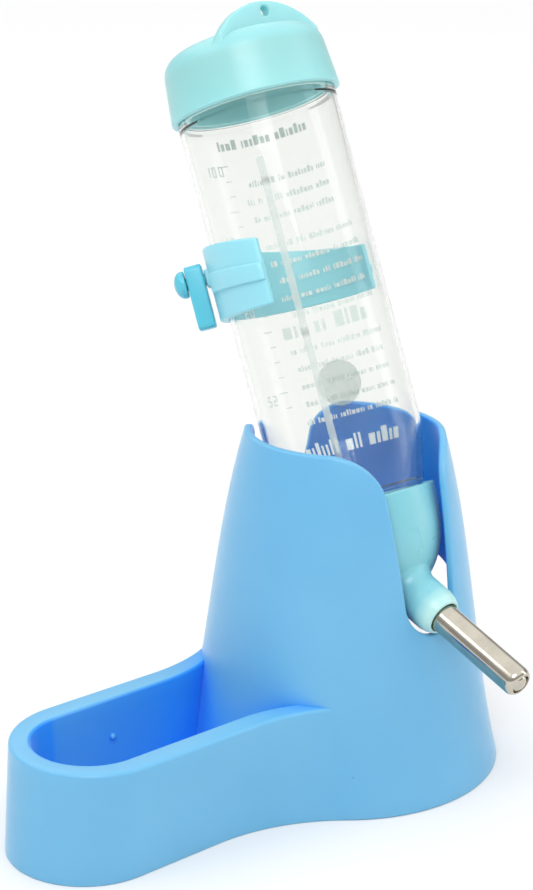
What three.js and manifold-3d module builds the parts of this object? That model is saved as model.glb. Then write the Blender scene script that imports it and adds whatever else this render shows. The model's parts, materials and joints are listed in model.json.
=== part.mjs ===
// Small-animal water bottle on a combined stand: hollow tower, feed trough and sleeping hut.
// Millimetres, +Z up. The tower axis is vertical, the spout points to -Y, the trough runs to -X
// and the hut door opens to +X. The origin is the middle of the footprint, on the floor.
import * as THREE from 'three';
import { mergeVertices } from 'three/addons/utils/BufferGeometryUtils.js';
import Module from 'manifold-3d';

const wasm = await Module();
wasm.setup();

// ---- driving dimensions -------------------------------------------------------------------

const GAP = 0.3;                 // clearance between touching pieces
const PAST = 5;                  // how far a cutter runs past the face it opens
const MERGE_DISTANCE = 1e-4;     // corners closer than this are one

// Tower
const TOWER_HEIGHT = 87.9;
const TOWER_FOOT_RADIUS = 41.5;
const TOWER_LOWER_PULL = 34.2;   // curve handles between foot and rim
const TOWER_UPPER_PULL = 33.5;
const TOWER_RIM_RADIUS = 25.2;
const TOWER_WALL = 2;

// Trough beside the tower
const TROUGH_HEIGHT = 27.6;
const TROUGH_WALL = 1.8;
const TROUGH_FLOOR = 2.2;
const FOOT_OUTLINE = { end: 101.4, half: 20.1, flareStart: 58, flareRadius: 48.5, flareEnd: 26.7 };
const RIM_OUTLINE = { end: 99.3, half: 20.4, flareStart: 46, flareRadius: 45, flareEnd: 21 };
const POCKET_RIM = { end: 94.6, half: 14.6, flareStart: 46, flareRadius: 36, flareEnd: 25 };
const POCKET_FLOOR = { end: 93.2, half: 13.2, flareStart: 46, flareRadius: 37.4, flareEnd: 25 };
const OUTLINE_ANCHOR = { x: 14, y: 18 };   // hidden corner inside the tower

// Openings in the tower wall
const FRONT_SLOT = { radius: 8.3, centre: 51, topHalf: 10, flareRadius: 12, flareHeight: 76.2 };
const BACK_SLOT = { radius: 10.2, centre: 68, topHalf: 10.4, flareRadius: 9, flareHeight: 79.2 };
const DOOR_RADIUS = 16;
const DOOR_SPRING_HEIGHT = 32;
const WALL_CUT_START = 8;        // cutters start this far from the tower axis

// Bottle, in its own leaning frame: z runs up the bottle axis from the level of the tower rim
const LEAN = THREE.MathUtils.degToRad(23.3);
const LEAN_SHIFT = 1.5;          // bottle axis behind the tower axis at the rim
const BOTTLE_WALL = 1.2;
const BOTTLE_LOW_RADIUS = 20;
const BOTTLE_HIGH_RADIUS = 20.5;
const NECK_END = -26.2;
const NECK_RADIUS = 16.4;
const NECK_TOP = -17.9;
const SHOULDER_TOP = -4.5;
const SHOULDER_LOW_RADIUS = 17.2;
const SHOULDER_CURVE = [{ inset: 1, drop: 4 }, { inset: 0.15, drop: 1 }];   // from the body's lower end
const SHOULDER_BORE_CURVE = [{ inset: 0.2, drop: 1 }, { inset: 1.2, drop: 4 }];
const SHOULDER_EASE = 1;         // height over which the shoulder runs into the body
const MOUTH_STEP = { low: 2, high: 1 };   // bore's step below the top of the body
const BODY_TOP = 82.9;
const MOUTH_RADIUS = 19.9;
const MOUTH_TOP = 94.6;

// Top cap with its hanging tab
const CAP_EDGE = 83.4;
const CAP_TOP = 100.2;
const CAP_EDGE_RADIUS = 21.9;
const CAP_SHOULDER_RADIUS = 20.9;
const CAP_FILLET = 5.5;
const CAP_ROOF = 1.6;
const PLUG_WALL = 1.3;
const PLUG_CHAMFER = 2;          // inside corner under the roof
const CAP_FILLET_STEPS = 5;
const TAB_DISTANCE = 11;         // tab plate in front of the bottle axis
const TAB_THICKNESS = 3;
const TAB_RADIUS = 20.8;
const TAB_TOP = 106.8;
const TAB_ROOT = 93;
const TAB_HOLE_RADIUS = 1.3;
const TAB_HOLE_HEIGHT = 104.2;

// Nozzle cap: screw skirt, dome and bent outlet
const NOZZLE_EDGE = -18.4;
const NOZZLE_EDGE_RADIUS = 19.2;
const NOZZLE_DOME_START = -24;
const NOZZLE_DOME_RADIUS = 18.9;
const NOZZLE_BOTTOM = -46;
const NOZZLE_BOTTOM_PULL = 14.5; // curve handles of the dome
const NOZZLE_SIDE_PULL = { radius: 18.4, height: -33.5 };
const NOZZLE_WALL = 1.7;
const NOZZLE_LEDGE = -28.5;
const GASKET_BORE = 11.5;
const OUTLET_BEND = THREE.MathUtils.degToRad(47.2);
const OUTLET_ROOT = -34.2;       // where the outlet axis leaves the bottle axis
const OUTLET_LENGTH = 25.9;
const OUTLET_RADIUS = 5.9;
const OUTLET_MOUTH_RADIUS = 4.5;
const OUTLET_EASE = { waist: 0.4, lip: 0.3, lipDepth: 0.5 };   // roundings towards the mouth
const OUTLET_START = 4;          // inside the dome
const CHANNEL_START = 6;
const CHANNEL_INSET = 1.2;       // water channel inside the spout's radius
const SEAT_MARGIN = 0.5;         // play of the bottle neck in the cap
const CAVITY_TAPER = { drop: 1, inset: 1.5 };   // narrowing of the water space below the ledge
const OUTLET_TAPER = 6;
const OUTLET_SOCKET = 12;        // depth of the seat for the spout tube

// Steel spout with two balls
const SPOUT_RADIUS = 3.75;
const SPOUT_WALL = 0.5;
const SPOUT_LENGTH = 38.5;
const SPOUT_TIP = 53;
const LIP_RADIUS = 2.5;
const LIP_ROUND = 0.9;
const LIP_STEPS = 3;
const BALL_RADIUS = 2.9;
const BALL_STANDOUT = 0.7;

// Clip ring, in a frame turned so that +X points to its neck
const CLIP_TURN = THREE.MathUtils.degToRad(139);
const CLIP_BORE = 20.6;
const CLIP_WALL = 1.9;
const CLIP_FRONT_END = THREE.MathUtils.degToRad(68);
const CLIP_BACK_END = THREE.MathUtils.degToRad(209);
const CLIP_NECK_SIDE = { low: 33, high: 52 };
const CLIP_FAR_SIDE = { low: 32, high: 43.3 };
const RIB_HEIGHT = 0.9;
const RIB_NECK_SIDE = { low: 40, high: 45.4 };
const RIB_FAR_SIDE = { low: 35.8, high: 38 };
const RIB_GAP = THREE.MathUtils.degToRad(14);
const CLIP_HALF_SPAN = 22;       // distance at which the sloped edges have their stated levels
const CLIP_REACH = 30;           // half width of the bands that slope the edges
const RIB_ROOT = 0.5;            // how deep the rib sits in the ring
const WEDGE_REACH = 3 * CLIP_BORE;

// Latch on the clip's neck, measured outwards from the ring
const LATCH_LEVEL = 44.6;
const NECK_POST = { root: 1.4, width: 5, height: 4.6, reach: 0.9 };
const LEVER = { start: 1.2, end: 5.7, width: 6, above: 4.1, below: 12.4, corner: 1.4 };
const PIN_RADIUS = 1.5;
const PIN_DEPTH = -0.6;
const PIN_HEAD = { start: 6, reach: 3.1, edge: 0.8, radius: 3.5 };
const PIN_HEAD_STEPS = 4;

const ROUND = 40;                // segments in a full turn
const CURVE_STEPS = 9;           // segments along a profile curve
const CORNER_STEPS = 8;          // segments of a drawn arc in an extrusion
const FLARE_STEPS = 6;           // segments of the trough's concave flare
const HALF_ROUND_STEPS = 14;     // segments round the trough's end
const TOWER_ROUND = 56;          // segments round the tower
const OUTLET_ROUND = 24;         // segments round the outlet and spout
const FINE_ROUND = 16;           // segments on small parts

// ---- materials ----------------------------------------------------------------------------

const plastic = (color, roughness) => new THREE.MeshStandardMaterial({ color, roughness, metalness: 0 });
const steel = () => new THREE.MeshStandardMaterial({ color: 0xc9c4bb, roughness: 0.2, metalness: 1 });
const SKY_BLUE = 0x6eb0e8;
const PALE_AQUA = 0xa4ebeb;
const SEA_AQUA = 0x8cdee2;
const LATCH_AQUA = 0x66d4ea;
const CLEAR = 0xeef4f6;
const CLEAR_OPACITY = 0.3;
const SILICONE = 0xe6ecec;

// ---- solid helpers ------------------------------------------------------------------------

// Turns a closed geometry into a solid that can be joined and cut.
function solid(geometry) {
  const bare = geometry.index ? geometry.toNonIndexed() : geometry.clone();
  bare.deleteAttribute('normal');
  bare.deleteAttribute('uv');
  const merged = mergeVertices(bare, MERGE_DISTANCE);
  const kept = [];
  const index = merged.index.array;
  for (let i = 0; i < index.length; i += 3) {
    const [a, b, c] = [index[i], index[i + 1], index[i + 2]];
    if (a !== b && b !== c && c !== a) kept.push(a, b, c);
  }
  const shape = new wasm.Manifold(new wasm.Mesh({
    numProp: 3,
    vertProperties: new Float32Array(merged.attributes.position.array),
    triVerts: new Uint32Array(kept),
  }));
  if (shape.isEmpty() || shape.volume() <= 0) throw new Error('a geometry is not a closed solid');
  return shape;
}

// Turns a solid back into a named mesh.
function meshOf(name, shape, material) {
  const mesh = shape.getMesh();
  const geometry = new THREE.BufferGeometry();
  geometry.setAttribute('position', new THREE.BufferAttribute(mesh.vertProperties, 3));
  geometry.setIndex(new THREE.BufferAttribute(mesh.triVerts, 1));
  geometry.computeVertexNormals();
  const result = new THREE.Mesh(geometry, material);
  result.name = name;
  return result;
}

// Solid of revolution about +Z from a profile of [radius, height] points, listed upwards.
function turned(profile, segments = ROUND) {
  const points = profile.map(([radius, height]) => new THREE.Vector2(radius, height));
  return new THREE.LatheGeometry(points, segments).rotateX(Math.PI / 2);
}

// Profile points along a curve in the [radius, height] plane.
function along(curve, steps) {
  return curve.getPoints(steps).map((point) => [point.x, point.y]);
}

// Extrudes a shape drawn in X-Z towards -Y, from one distance to another.
function cutTowardsFront(shape, from, to) {
  const depth = to - from;
  const geometry = new THREE.ExtrudeGeometry(shape, { depth, bevelEnabled: false, curveSegments: CORNER_STEPS });
  return geometry.rotateX(Math.PI / 2).translate(0, -from, 0);
}

// Upright solid whose foot and top have different outlines with the same number of points.
function lofted(foot, top, low, high) {
  const shape = new THREE.Shape(foot);
  const geometry = new THREE.ExtrudeGeometry(shape, { depth: high - low, bevelEnabled: false });
  const key = (x, y) => `${x.toFixed(3)} ${y.toFixed(3)}`;
  const partner = new Map(foot.map((point, i) => [key(point.x, point.y), top[i]]));
  const position = geometry.attributes.position;
  for (let i = 0; i < position.count; i += 1) {
    if (position.getZ(i) > 0) {
      const target = partner.get(key(position.getX(i), position.getY(i)));
      position.setXY(i, target.x, target.y);
    }
  }
  return geometry.translate(0, 0, low);
}

// ---- stand --------------------------------------------------------------------------------

// Profile of the tower wall: a smooth curve from the flared foot to the rim.
function towerProfile(inset, below, above) {
  const curve = new THREE.CubicBezierCurve(
    new THREE.Vector2(TOWER_FOOT_RADIUS - inset, 0),
    new THREE.Vector2(TOWER_LOWER_PULL - inset, TOWER_HEIGHT / 3),
    new THREE.Vector2(TOWER_UPPER_PULL - inset, (2 * TOWER_HEIGHT) / 3),
    new THREE.Vector2(TOWER_RIM_RADIUS - inset, TOWER_HEIGHT),
  );
  const wall = along(curve, CURVE_STEPS);
  const foot = below > 0 ? [[TOWER_FOOT_RADIUS - inset, -below]] : [];
  const rim = above > 0 ? [[TOWER_RIM_RADIUS - inset, TOWER_HEIGHT + above]] : [];
  return [[0, -below], ...foot, ...wall, ...rim, [0, TOWER_HEIGHT + above]];
}

// Plan outline of the trough: a round end, two straight sides and a concave flare into the tower.
// A positive margin moves the outline outwards.
function troughOutline(outline, margin = 0) {
  const half = outline.half + margin;
  const flareRadius = outline.flareRadius - margin;
  const endCentre = -(outline.end - outline.half);
  const side = [];
  const sweep = Math.asin((outline.flareStart - outline.flareEnd) / outline.flareRadius);
  for (let i = FLARE_STEPS; i >= 0; i -= 1) {
    const angle = (sweep * i) / FLARE_STEPS;
    const x = -outline.flareStart + flareRadius * Math.sin(angle);
    const y = half + flareRadius * (1 - Math.cos(angle));
    side.push(new THREE.Vector2(x, y));
  }
  const round = [];
  for (let i = 0; i <= HALF_ROUND_STEPS; i += 1) {
    const angle = Math.PI / 2 + (Math.PI * i) / HALF_ROUND_STEPS;
    round.push(new THREE.Vector2(endCentre + half * Math.cos(angle), half * Math.sin(angle)));
  }
  const otherSide = side.map((point) => new THREE.Vector2(point.x, -point.y)).reverse();
  const anchor = [
    new THREE.Vector2(-OUTLINE_ANCHOR.x, -OUTLINE_ANCHOR.y),
    new THREE.Vector2(-OUTLINE_ANCHOR.x, OUTLINE_ANCHOR.y),
  ];
  return [...side, ...round, ...otherSide, ...anchor];
}

// Trough with a hollow, double-walled rim that is open underneath.
function troughSolid() {
  const body = solid(lofted(troughOutline(FOOT_OUTLINE), troughOutline(RIM_OUTLINE), 0, TROUGH_HEIGHT));
  const inner = lofted(
    troughOutline(FOOT_OUTLINE, -TROUGH_WALL),
    troughOutline(RIM_OUTLINE, -TROUGH_WALL),
    -PAST,
    TROUGH_HEIGHT - TROUGH_WALL,
  );
  const basin = lofted(
    troughOutline(POCKET_FLOOR, TROUGH_WALL),
    troughOutline(POCKET_RIM, TROUGH_WALL),
    -2 * PAST,
    TROUGH_HEIGHT,
  );
  const pocket = lofted(
    troughOutline(POCKET_FLOOR),
    troughOutline(POCKET_RIM),
    TROUGH_FLOOR,
    TROUGH_HEIGHT + PAST,
  );
  const underside = solid(inner).subtract(solid(basin));
  return body.subtract(underside).subtract(solid(pocket));
}

// U-shaped slot with round shoulders that run into the rim: the front one takes the nozzle,
// and the bottle leans on the shoulders of the back one.
function slotShape({ radius, centre, topHalf, flareRadius, flareHeight }) {
  const shape = new THREE.Shape();
  const flareCentre = topHalf + flareRadius;
  const reach = Math.acos((TOWER_HEIGHT - flareHeight) / flareRadius);
  const mouthHalf = flareCentre - flareRadius * Math.sin(reach);
  const top = TOWER_HEIGHT + PAST;
  shape.absarc(0, centre, radius, Math.PI, 2 * Math.PI, false);
  shape.absarc(flareCentre, flareHeight, flareRadius, Math.PI, Math.PI / 2 + reach, true);
  shape.lineTo(mouthHalf, top);
  shape.lineTo(-mouthHalf, top);
  shape.absarc(-flareCentre, flareHeight, flareRadius, Math.PI / 2 - reach, 0, true);
  shape.closePath();
  return shape;
}

// Arched hut door.
function doorShape() {
  const shape = new THREE.Shape();
  shape.moveTo(-DOOR_RADIUS, -PAST);
  shape.lineTo(DOOR_RADIUS, -PAST);
  shape.absarc(0, DOOR_SPRING_HEIGHT, DOOR_RADIUS, 0, Math.PI, false);
  shape.closePath();
  return shape;
}

function stand() {
  const wallCutEnd = TOWER_FOOT_RADIUS + PAST;
  const frontSlot = cutTowardsFront(slotShape(FRONT_SLOT), WALL_CUT_START, wallCutEnd);
  const backSlot = cutTowardsFront(slotShape(BACK_SLOT), WALL_CUT_START, wallCutEnd).rotateZ(Math.PI);
  const door = cutTowardsFront(doorShape(), WALL_CUT_START, wallCutEnd).rotateZ(Math.PI / 2);
  const shape = troughSolid()
    .add(solid(turned(towerProfile(0, 0, 0), TOWER_ROUND)))
    .subtract(solid(turned(towerProfile(TOWER_WALL, PAST, PAST), TOWER_ROUND)))
    .subtract(solid(frontSlot))
    .subtract(solid(backSlot))
    .subtract(solid(door));
  return meshOf('stand', shape, plastic(SKY_BLUE, 0.42));
}

// ---- bottle -------------------------------------------------------------------------------

// Clear tube, open at both ends: a narrow screw neck below and a wide filling mouth above.
function bottleTube() {
  const outer = [
    [NECK_RADIUS, NECK_END],
    [NECK_RADIUS, NECK_TOP],
    [SHOULDER_LOW_RADIUS, NECK_TOP + GAP],
    ...SHOULDER_CURVE.map(({ inset, drop }) => [BOTTLE_LOW_RADIUS - inset, SHOULDER_TOP - drop]),
    [BOTTLE_LOW_RADIUS, SHOULDER_TOP + SHOULDER_EASE],
    [BOTTLE_HIGH_RADIUS, BODY_TOP],
    [MOUTH_RADIUS, BODY_TOP],
    [MOUTH_RADIUS, MOUTH_TOP],
  ];
  const boreRadius = BOTTLE_LOW_RADIUS - BOTTLE_WALL;
  const inner = [
    [MOUTH_RADIUS - BOTTLE_WALL, MOUTH_TOP],
    [MOUTH_RADIUS - BOTTLE_WALL, BODY_TOP - MOUTH_STEP.high],
    [BOTTLE_HIGH_RADIUS - BOTTLE_WALL, BODY_TOP - MOUTH_STEP.low],
    [boreRadius, SHOULDER_TOP + SHOULDER_EASE],
    ...SHOULDER_BORE_CURVE.map(({ inset, drop }) => [boreRadius - inset, SHOULDER_TOP - drop]),
    [NECK_RADIUS - BOTTLE_WALL, NECK_TOP],
    [NECK_RADIUS - BOTTLE_WALL, NECK_END],
  ];
  const shape = solid(turned([...outer, ...inner, outer[0]]));
  const material = plastic(CLEAR, 0.08);
  material.transparent = true;
  material.opacity = CLEAR_OPACITY;
  return meshOf('bottle_tube', shape, material);
}

// Push-on top cap: outer skirt, inner plug and a flat tab with a hanging hole.
function topCap() {
  const filletCentre = { radius: CAP_SHOULDER_RADIUS - CAP_FILLET, height: CAP_TOP - CAP_FILLET };
  const fillet = [];
  for (let i = 0; i <= CAP_FILLET_STEPS; i += 1) {
    const angle = (Math.PI / 2) * (i / CAP_FILLET_STEPS);
    fillet.push([
      filletCentre.radius + CAP_FILLET * Math.cos(angle),
      filletCentre.height + CAP_FILLET * Math.sin(angle),
    ]);
  }
  const plugRadius = MOUTH_RADIUS - BOTTLE_WALL - GAP;
  const grooveTop = MOUTH_TOP + GAP;
  const shell = solid(turned([[0, CAP_EDGE], [CAP_EDGE_RADIUS, CAP_EDGE], ...fillet, [0, CAP_TOP]]));
  const groove = solid(turned([
    [plugRadius, CAP_EDGE - PAST],
    [MOUTH_RADIUS + GAP, CAP_EDGE - PAST],
    [MOUTH_RADIUS + GAP, grooveTop],
    [plugRadius, grooveTop],
    [plugRadius, CAP_EDGE - PAST],
  ]));
  const hollow = solid(turned([
    [0, CAP_EDGE - PAST],
    [plugRadius - PLUG_WALL, CAP_EDGE - PAST],
    [plugRadius - PLUG_WALL, CAP_TOP - CAP_ROOF - PLUG_CHAMFER],
    [plugRadius - PLUG_WALL - PLUG_CHAMFER, CAP_TOP - CAP_ROOF],
    [0, CAP_TOP - CAP_ROOF],
  ]));
  const outline = new THREE.Shape();
  const tabCentre = TAB_TOP - TAB_RADIUS;
  const tabStart = Math.asin((TAB_ROOT - tabCentre) / TAB_RADIUS);
  outline.absarc(0, tabCentre, TAB_RADIUS, tabStart, Math.PI - tabStart, false);
  outline.closePath();
  const hole = new THREE.Path();
  hole.absarc(0, TAB_HOLE_HEIGHT, TAB_HOLE_RADIUS, 0, 2 * Math.PI, true);
  outline.holes.push(hole);
  const tabFront = TAB_DISTANCE + TAB_THICKNESS / 2;
  const plate = solid(cutTowardsFront(outline, TAB_DISTANCE - TAB_THICKNESS / 2, tabFront));
  const round = solid(turned([
    [0, TAB_ROOT - PAST],
    [CAP_SHOULDER_RADIUS, TAB_ROOT - PAST],
    [CAP_SHOULDER_RADIUS, TAB_TOP + PAST],
    [0, TAB_TOP + PAST],
  ]));
  const shape = shell.add(plate.intersect(round)).subtract(groove).subtract(hollow);
  return meshOf('top_cap', shape, plastic(PALE_AQUA, 0.38));
}

// ---- nozzle -------------------------------------------------------------------------------

// Moves a geometry made along +Z onto the outlet axis, in the bottle frame.
function ontoOutlet(geometry) {
  return geometry.rotateX(Math.PI - OUTLET_BEND).translate(0, 0, OUTLET_ROOT);
}

// Dome of the nozzle cap as profile points, from its axis up to the skirt edge.
function domeProfile(inset) {
  const bottom = NOZZLE_BOTTOM + inset;
  const curve = new THREE.CubicBezierCurve(
    new THREE.Vector2(0, bottom),
    new THREE.Vector2(NOZZLE_BOTTOM_PULL - inset, bottom),
    new THREE.Vector2(NOZZLE_SIDE_PULL.radius - inset, NOZZLE_SIDE_PULL.height),
    new THREE.Vector2(NOZZLE_DOME_RADIUS - inset, NOZZLE_DOME_START),
  );
  return along(curve, CURVE_STEPS);
}

function nozzleCap() {
  const outer = solid(turned([
    ...domeProfile(0),
    [NOZZLE_EDGE_RADIUS, NOZZLE_EDGE],
    [0, NOZZLE_EDGE],
  ]));
  const tube = solid(ontoOutlet(turned([
    [0, OUTLET_START],
    [OUTLET_RADIUS, OUTLET_START],
    [OUTLET_RADIUS, OUTLET_LENGTH - OUTLET_TAPER],
    [OUTLET_RADIUS - OUTLET_EASE.waist, OUTLET_LENGTH - OUTLET_TAPER / 2],
    [OUTLET_MOUTH_RADIUS + OUTLET_EASE.lip, OUTLET_LENGTH - OUTLET_EASE.lipDepth],
    [OUTLET_MOUTH_RADIUS, OUTLET_LENGTH],
    [0, OUTLET_LENGTH],
  ], OUTLET_ROUND)));
  const cavityTop = NOZZLE_LEDGE - CAVITY_TAPER.drop;
  const cavityProfile = domeProfile(NOZZLE_WALL).filter(([, height]) => height < cavityTop);
  const [cavityRadius] = cavityProfile.at(-1);
  const cavity = solid(turned([
    ...cavityProfile,
    [cavityRadius - CAVITY_TAPER.inset, NOZZLE_LEDGE + PAST],
    [0, NOZZLE_LEDGE + PAST],
  ]));
  const bore = solid(turned([
    [0, NOZZLE_LEDGE],
    [NECK_RADIUS + SEAT_MARGIN, NOZZLE_LEDGE],
    [NECK_RADIUS + SEAT_MARGIN, NOZZLE_EDGE + PAST],
    [0, NOZZLE_EDGE + PAST],
  ]));
  const channelRadius = SPOUT_RADIUS - CHANNEL_INSET;
  const seat = SPOUT_RADIUS + GAP;
  const seatStart = OUTLET_LENGTH - OUTLET_SOCKET - GAP;
  const channel = solid(ontoOutlet(turned([
    [0, CHANNEL_START],
    [channelRadius, CHANNEL_START],
    [channelRadius, seatStart],
    [seat, seatStart],
    [seat, OUTLET_LENGTH + PAST],
    [0, OUTLET_LENGTH + PAST],
  ], OUTLET_ROUND)));
  const shape = outer.add(tube).subtract(cavity).subtract(bore).subtract(channel);
  return meshOf('nozzle_cap', shape, plastic(SEA_AQUA, 0.34));
}

// Flat sealing ring between the bottle neck and the ledge in the nozzle cap.
function nozzleGasket() {
  const low = NOZZLE_LEDGE + GAP;
  const high = NECK_END - GAP;
  const shape = solid(turned([
    [GASKET_BORE, low],
    [NECK_RADIUS, low],
    [NECK_RADIUS, high],
    [GASKET_BORE, high],
    [GASKET_BORE, low],
  ]));
  return meshOf('nozzle_gasket', shape, plastic(SILICONE, 0.6));
}

// Thin steel tube whose outer end is rolled inwards to hold the balls. It runs along +Z.
function spoutTube() {
  const inside = SPOUT_RADIUS - SPOUT_WALL;
  const start = SPOUT_TIP - SPOUT_LENGTH;
  const lip = [];
  for (let i = 0; i <= LIP_STEPS; i += 1) {
    const angle = (Math.PI / 2) * (i / LIP_STEPS);
    lip.push([
      SPOUT_RADIUS - LIP_ROUND + LIP_ROUND * Math.cos(angle),
      SPOUT_TIP - LIP_ROUND + LIP_ROUND * Math.sin(angle),
    ]);
  }
  const profile = [
    [SPOUT_RADIUS, start],
    ...lip,
    [LIP_RADIUS, SPOUT_TIP],
    [LIP_RADIUS, SPOUT_TIP - SPOUT_WALL],
    [inside, SPOUT_TIP - LIP_ROUND - SPOUT_WALL],
    [inside, start],
    [SPOUT_RADIUS, start],
  ];
  return meshOf('spout_tube', solid(turned(profile, OUTLET_ROUND)), steel());
}

function ball(name, height) {
  const shape = solid(new THREE.SphereGeometry(BALL_RADIUS, FINE_ROUND, FINE_ROUND / 2));
  const result = meshOf(name, shape, steel());
  result.position.z = height;
  return result;
}

// ---- clip and latch -----------------------------------------------------------------------

// Bar that spans the clip from neck side to far side, used to slope the clip's edges.
function slopedBand(neckSide, farSide) {
  const reach = CLIP_REACH;
  const slope = (near, far, x) => far + ((near - far) * (x + CLIP_HALF_SPAN)) / (2 * CLIP_HALF_SPAN);
  const shape = new THREE.Shape();
  shape.moveTo(-reach, slope(neckSide.low, farSide.low, -reach));
  shape.lineTo(reach, slope(neckSide.low, farSide.low, reach));
  shape.lineTo(reach, slope(neckSide.high, farSide.high, reach));
  shape.lineTo(-reach, slope(neckSide.high, farSide.high, -reach));
  shape.closePath();
  return solid(cutTowardsFront(shape, -reach, reach));
}

function ring(inner, outer, low, high) {
  return solid(turned([[inner, low], [outer, low], [outer, high], [inner, high], [inner, low]]));
}

// Wedge from the clip's axis between two angles, tall enough to cut right through the ring.
function wedge(startAngle, endAngle, low, high) {
  const shape = new THREE.Shape();
  shape.absarc(0, 0, WEDGE_REACH, startAngle, endAngle, false);
  shape.lineTo(0, 0);
  const depth = high - low;
  return solid(new THREE.ExtrudeGeometry(shape, { depth, bevelEnabled: false }).translate(0, 0, low));
}

// Open ring that snaps round the bottle, tallest at its neck, with a raised rib.
function clipRing() {
  const outer = CLIP_BORE + CLIP_WALL;
  const low = CLIP_FAR_SIDE.low - PAST;
  const high = CLIP_NECK_SIDE.high + PAST;
  const band = ring(CLIP_BORE, outer, low, high)
    .intersect(slopedBand(CLIP_NECK_SIDE, CLIP_FAR_SIDE));
  const rib = ring(outer - RIB_ROOT, outer + RIB_HEIGHT, low, high)
    .intersect(slopedBand(RIB_NECK_SIDE, RIB_FAR_SIDE))
    .subtract(wedge(-RIB_GAP, RIB_GAP, low, high));
  const post = new THREE.BoxGeometry(NECK_POST.reach + NECK_POST.root, NECK_POST.width, NECK_POST.height)
    .translate(outer + (NECK_POST.reach - NECK_POST.root) / 2, 0, LATCH_LEVEL);
  const holeRadius = PIN_RADIUS + GAP;
  const holeStart = PIN_DEPTH - GAP;
  const hole = turned([[0, holeStart], [holeRadius, holeStart], [holeRadius, PAST], [0, PAST]], FINE_ROUND)
    .rotateY(Math.PI / 2)
    .translate(outer, 0, LATCH_LEVEL);
  const shape = band
    .add(rib)
    .subtract(wedge(CLIP_FRONT_END, CLIP_BACK_END, low, high))
    .add(solid(post))
    .subtract(solid(hole));
  return meshOf('clip_ring', shape, plastic(PALE_AQUA, 0.36));
}

// Lever that turns on the neck to lock the clip behind a cage wire. Its pivot runs along +X.
function latchLever() {
  const { start, end, width, above, below, corner } = LEVER;
  const outline = new THREE.Shape();
  const side = width / 2;
  outline.absarc(side - corner, above - corner, corner, 0, Math.PI / 2, false);
  outline.absarc(-side + corner, above - corner, corner, Math.PI / 2, Math.PI, false);
  outline.absarc(-side + corner, -below + corner, corner, Math.PI, 1.5 * Math.PI, false);
  outline.absarc(side - corner, -below + corner, corner, 1.5 * Math.PI, 2 * Math.PI, false);
  outline.closePath();
  const hole = new THREE.Path();
  hole.absarc(0, 0, PIN_RADIUS + GAP, 0, 2 * Math.PI, true);
  outline.holes.push(hole);
  const depth = end - start;
  const bar = new THREE.ExtrudeGeometry(outline, { depth, bevelEnabled: false, curveSegments: CORNER_STEPS });
  bar.rotateX(Math.PI / 2).rotateZ(Math.PI / 2).translate(start, 0, 0);
  return meshOf('latch_lever', solid(bar), plastic(LATCH_AQUA, 0.34));
}

// Snap pin with a domed head that holds the lever on the neck.
function latchPin() {
  const dome = [];
  for (let i = 0; i <= PIN_HEAD_STEPS; i += 1) {
    const angle = (Math.PI / 2) * (i / PIN_HEAD_STEPS);
    dome.push([
      PIN_HEAD.radius * Math.cos(angle),
      PIN_HEAD.start + PIN_HEAD.edge + (PIN_HEAD.reach - PIN_HEAD.edge) * Math.sin(angle),
    ]);
  }
  const profile = [
    [0, PIN_DEPTH],
    [PIN_RADIUS, PIN_DEPTH],
    [PIN_RADIUS, PIN_HEAD.start],
    [PIN_HEAD.radius, PIN_HEAD.start],
    ...dome.slice(0, -1),
    [0, PIN_HEAD.start + PIN_HEAD.reach],
  ];
  const shape = solid(turned(profile, FINE_ROUND).rotateY(Math.PI / 2));
  return meshOf('latch_pin', shape, plastic(LATCH_AQUA, 0.34));
}

// ---- assembly -----------------------------------------------------------------------------

const outlet = new THREE.Group();
outlet.rotation.x = Math.PI - OUTLET_BEND;
outlet.position.z = OUTLET_ROOT;
const tipBallHeight = SPOUT_TIP + BALL_STANDOUT - BALL_RADIUS;
outlet.add(spoutTube());
outlet.add(ball('tip_ball', tipBallHeight));
outlet.add(ball('rear_ball', tipBallHeight - 2 * BALL_RADIUS - GAP));

const latch = new THREE.Group();
latch.position.set(CLIP_BORE + CLIP_WALL, 0, LATCH_LEVEL);
latch.add(latchLever());
latch.add(latchPin());

const clip = new THREE.Group();
clip.rotation.z = CLIP_TURN;
clip.add(clipRing());
clip.add(latch);

const bottle = new THREE.Group();
bottle.rotation.x = -LEAN;
bottle.position.set(0, LEAN_SHIFT, TOWER_HEIGHT);
bottle.add(bottleTube());
bottle.add(topCap());
bottle.add(nozzleCap());
bottle.add(nozzleGasket());
bottle.add(outlet);
bottle.add(clip);

const assembly = new THREE.Group();
assembly.add(stand());
assembly.add(bottle);

// Put the origin in the middle of the footprint, on the floor.
const bounds = new THREE.Box3().setFromObject(assembly, true);
const middle = bounds.getCenter(new THREE.Vector3());
assembly.position.set(-middle.x, -middle.y, -bounds.min.z);

const model = new THREE.Group();
model.add(assembly);

export default model;
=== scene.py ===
# Small-animal water bottle leaning in its blue stand: fine surfaces, materials, light and camera.
# Shapes are drawn in millimetres, each in its own local frame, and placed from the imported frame.
import json
import math
import random

import bmesh
import bpy
import numpy as np
from mathutils import Matrix, Vector
from mathutils.geometry import delaunay_2d_cdt


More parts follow.
